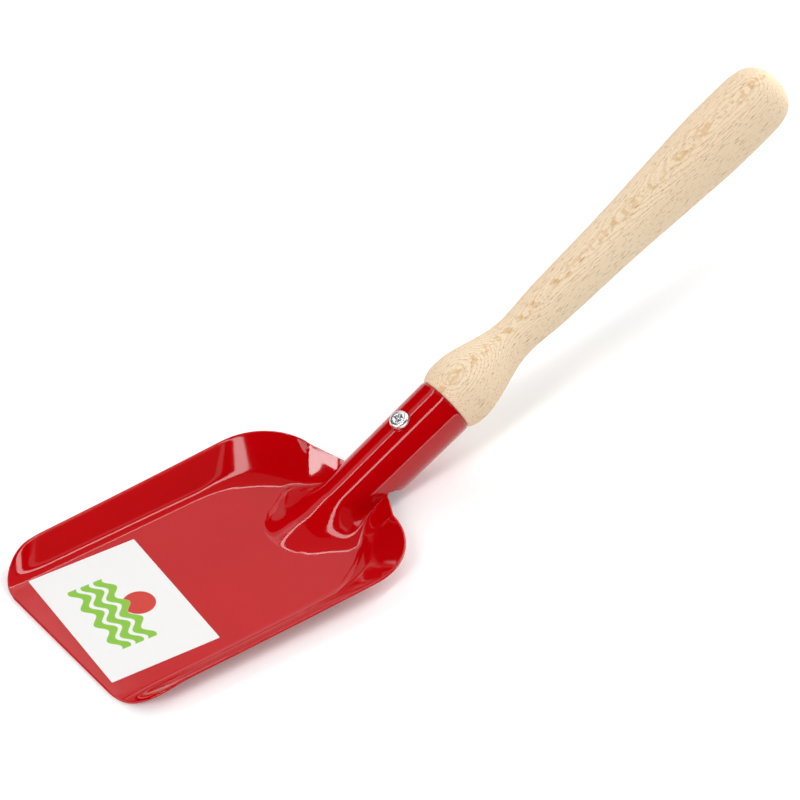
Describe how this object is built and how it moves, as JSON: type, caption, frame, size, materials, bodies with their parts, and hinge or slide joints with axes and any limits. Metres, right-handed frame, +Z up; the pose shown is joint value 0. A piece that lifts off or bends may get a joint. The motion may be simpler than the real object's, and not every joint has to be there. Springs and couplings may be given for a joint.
{
  "type": "sand shovel",
  "caption": "Child's sand shovel with a pressed red enamelled steel blade, a rolled socket and a turned beech handle held by a cross-recess screw",
  "frame": {"origin": "middle of the underside of the blade's flat floor, on the plane that the floor lies on", "axes": "+X runs from the front edge of the blade towards the handle, +Z is up out of the blade's hollow side, and +Y is to the left when looking along +X"},
  "size_m": [0.3067, 0.092, 0.106],
  "materials": {
    "enamelled_steel": "glossy baked enamel on pressed sheet",
    "beech": "turned, sanded and left matt",
    "zinc_steel": "bright zinc plate",
    "label_paper": "matt white sticker film"
  },
  "bodies": {
    "root": {"blade": "enamelled_steel", "handle": "beech", "screw": "zinc_steel", "label": "label_paper"}
  },
  "joints": []
}
